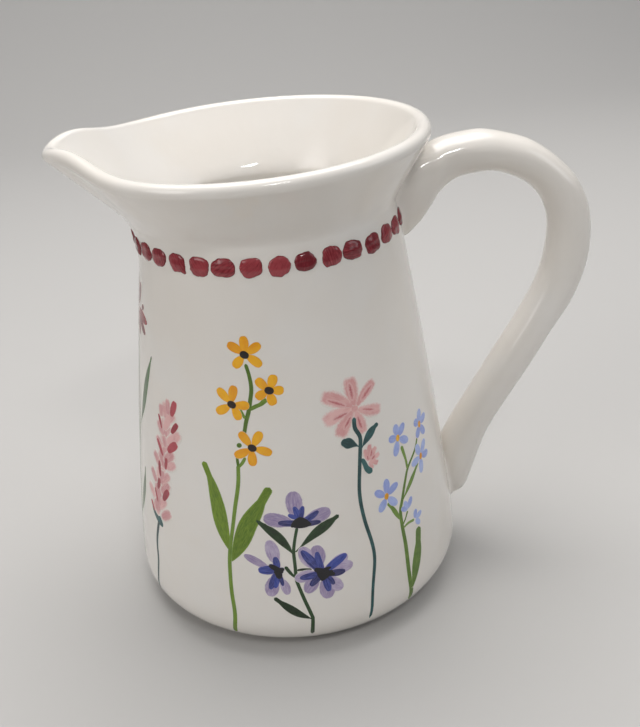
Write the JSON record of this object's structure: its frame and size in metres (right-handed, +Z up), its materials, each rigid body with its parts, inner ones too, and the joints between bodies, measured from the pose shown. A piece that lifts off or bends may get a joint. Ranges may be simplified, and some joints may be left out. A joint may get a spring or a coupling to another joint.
{
  "type": "ceramic pitcher",
  "caption": "Tapered glazed earthenware pitcher with a flared collar, a drawn-out pouring lip, a rolled strap handle, a border of raised dots and painted flower sprigs.",
  "frame": {"origin": "centre of the flat base, on the axis of the round body, at the surface the pitcher stands on", "axes": "+Z up along the body's axis; +X towards the handle; the spout points along -X; +Y completes the right-handed frame"},
  "size_m": [0.2236, 0.1464, 0.2088],
  "materials": {
    "glaze": "gloss",
    "dot_crimson": "gloss",
    "daisy_yellow": "gloss",
    "eye_brown": "gloss",
    "stem_green": "gloss",
    "leaf_green": "gloss",
    "violet_lilac": "gloss",
    "violet_blue": "gloss",
    "eye_black": "gloss",
    "violet_green": "gloss",
    "pink_pale": "gloss",
    "pink_deep": "gloss",
    "teal_green": "gloss",
    "periwinkle": "gloss",
    "eye_orange": "gloss",
    "olive_green": "gloss",
    "bell_pink": "gloss",
    "bell_crimson": "gloss",
    "poppy_crimson": "gloss",
    "poppy_green": "gloss"
  },
  "bodies": {
    "root": {"body": "glaze", "handle": "glaze", "dot_border": "dot_crimson", "yellow_daisy_petals": "daisy_yellow", "yellow_daisy_eyes": "eye_brown", "yellow_daisy_stems": "stem_green", "yellow_daisy_leaves": "leaf_green", "violet_petals": "violet_lilac", "violet_streaks": "violet_blue", "violet_eyes": "eye_black", "violet_stems": "violet_green", "pink_daisy_petals": "pink_pale", "pink_daisy_streaks": "pink_deep", "pink_daisy_stems": "teal_green", "forget_me_not_petals": "periwinkle", "forget_me_not_eyes": "eye_orange", "forget_me_not_stems": "olive_green", "bellflower_petals": "bell_pink", "bellflower_marks": "bell_crimson", "bellflower_stems": "teal_green", "poppy_petals": "poppy_crimson", "poppy_stems": "poppy_green"}
  },
  "joints": []
}
